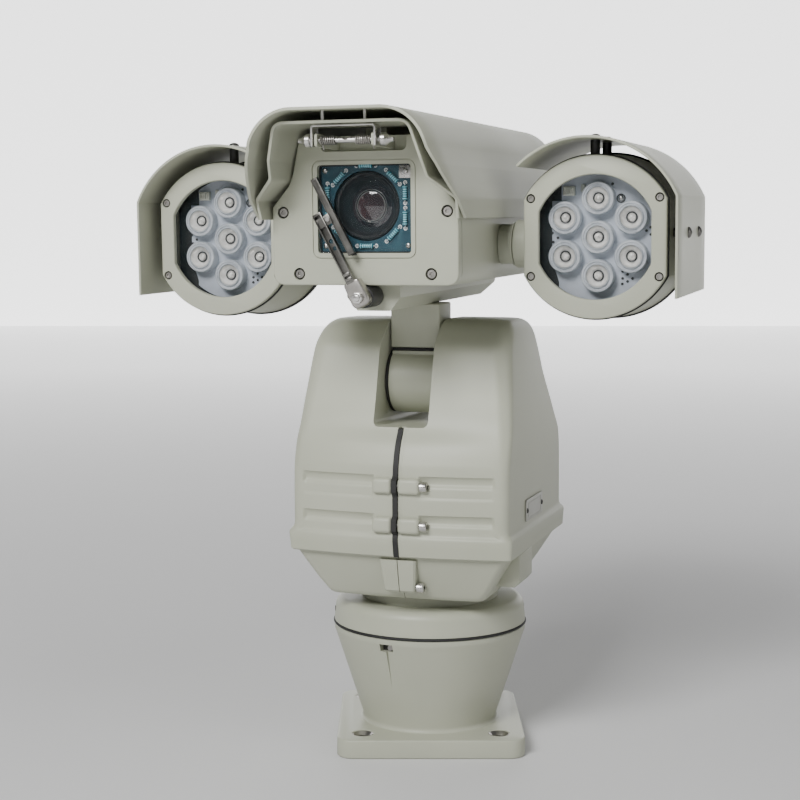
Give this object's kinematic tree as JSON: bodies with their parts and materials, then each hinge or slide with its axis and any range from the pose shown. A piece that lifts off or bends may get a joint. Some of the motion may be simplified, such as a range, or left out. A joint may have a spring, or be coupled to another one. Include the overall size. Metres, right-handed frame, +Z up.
{
  "type": "ptz camera",
  "caption": "Weatherproof pan-tilt camera: hooded housing with wiper and sun shield on a two-part drive body and square foot, a round infrared lamp on each side.",
  "frame": {"origin": "centre of the foot plate's underside, on the pan axis", "axes": "+Z up along the pan axis, +X and +Y along the foot plate's sides; the lens looks towards -Y, turned 18 degrees to the viewer's left and 1.8 degrees down at rest"},
  "size_m": [0.4865, 0.4427, 0.5428],
  "materials": {
    "grey_paint": "cast and sheet aluminium under a warm grey satin paint",
    "black_rubber": "matt moulded rubber",
    "stainless_steel": "satin stainless steel",
    "clear_glass": "clear polished glass",
    "black_metal": "matt black moulding",
    "gear_metal": "machined brass",
    "circuit_board": "solder-masked circuit board",
    "lamp_board": "moulded lamp holders on a board",
    "plate_metal": "brushed blank plate"
  },
  "bodies": {
    "base": {"base_casting": "grey_paint", "cable_gland": "black_rubber", "pan_gasket": "black_rubber", "pan_gear": "gear_metal"},
    "pan_body": {"pan_ring": "grey_paint", "body_left": "grey_paint", "body_right": "grey_paint", "seam_gasket": "black_rubber", "seam_screw_1": "stainless_steel", "seam_screw_2": "stainless_steel", "seam_screw_3": "stainless_steel", "name_plate": "plate_metal", "connector_box": "grey_paint", "pan_motor": "black_metal", "tilt_motor": "black_metal", "drum_seal_left": "black_rubber", "drum_seal_right": "black_rubber"},
    "pan_drive": {"pan_pinion": "gear_metal"},
    "tilt_drive": {"tilt_pinion": "gear_metal"},
    "head": {"tilt_drum": "grey_paint", "tilt_gear": "gear_metal", "neck_gasket": "black_rubber", "neck_post": "grey_paint", "head_bracket": "grey_paint", "housing_tray": "grey_paint", "front_plate": "grey_paint", "rear_plate": "grey_paint", "window_gasket": "black_rubber", "window_glass": "clear_glass", "camera_block": "black_metal", "lens_barrel": "black_metal", "heater_board": "circuit_board", "hinge_pin": "stainless_steel", "wiper_motor": "black_metal", "lamp_arm_left": "grey_paint", "lamp_arm_right": "grey_paint"},
    "cover": {"top_cover": "grey_paint", "visor": "grey_paint", "sun_shield": "grey_paint", "hinge_bracket": "stainless_steel", "hinge_spring": "stainless_steel"},
    "wiper": {"wiper_arm": "stainless_steel", "wiper_blade": "black_rubber"},
    "lamp_left": {"lamp_body_left": "grey_paint", "lamp_gasket_left": "black_rubber", "lamp_ring_left": "grey_paint", "lamp_glass_left": "clear_glass", "lamp_cap_left": "grey_paint", "lamp_hood_left": "grey_paint", "led_array_left": "lamp_board"},
    "lamp_right": {"lamp_body_right": "grey_paint", "lamp_gasket_right": "black_rubber", "lamp_ring_right": "grey_paint", "lamp_glass_right": "clear_glass", "lamp_cap_right": "grey_paint", "lamp_hood_right": "grey_paint", "led_array_right": "lamp_board"}
  },
  "joints": [
    {"name": "pan", "type": "hinge", "parent": "base", "child": "pan_body", "pos_m": [0, 0, 0.104], "axis": [0, 0, 1], "continuous": true},
    {"name": "pan_pinion_spin", "type": "hinge", "parent": "pan_body", "child": "pan_drive", "pos_m": [0.05207, 0.01463, 0.154], "axis": [0, 0, 1], "continuous": true},
    {"name": "tilt", "type": "hinge", "parent": "pan_body", "child": "head", "pos_m": [-0.00834, -0.02568, 0.317], "axis": [0.9511, -0.309, 0], "range_deg": [-40, 60]},
    {"name": "tilt_pinion_spin", "type": "hinge", "parent": "pan_body", "child": "tilt_drive", "pos_m": [0.03683, -0.04036, 0.2721], "axis": [0.9511, -0.309, 0], "range_deg": [-120, 80]},
    {"name": "cover_hinge", "type": "hinge", "parent": "head", "child": "cover", "pos_m": [-0.06642, -0.20441, 0.50732], "axis": [0.9511, -0.309, 0], "range_deg": [0, 50]},
    {"name": "wiper_sweep", "type": "hinge", "parent": "head", "child": "wiper", "pos_m": [-0.05665, -0.17436, 0.39063], "axis": [0.3089, 0.9506, 0.0307], "range_deg": [-8, 62]},
    {"name": "lamp_left_swivel", "type": "hinge", "parent": "head", "child": "lamp_left", "pos_m": [-0.16582, 0.00808, 0.43255], "axis": [0.9511, -0.309, 0], "range_deg": [-12, 12]},
    {"name": "lamp_right_swivel", "type": "hinge", "parent": "head", "child": "lamp_right", "pos_m": [0.1389, -0.09093, 0.43255], "axis": [0.9511, -0.309, 0], "range_deg": [-12, 12]}
  ],
  "couplings": [
    {"joint": "pan_pinion_spin", "follows": "pan", "ratio": 2.5},
    {"joint": "tilt_pinion_spin", "follows": "tilt", "ratio": -2}
  ]
}
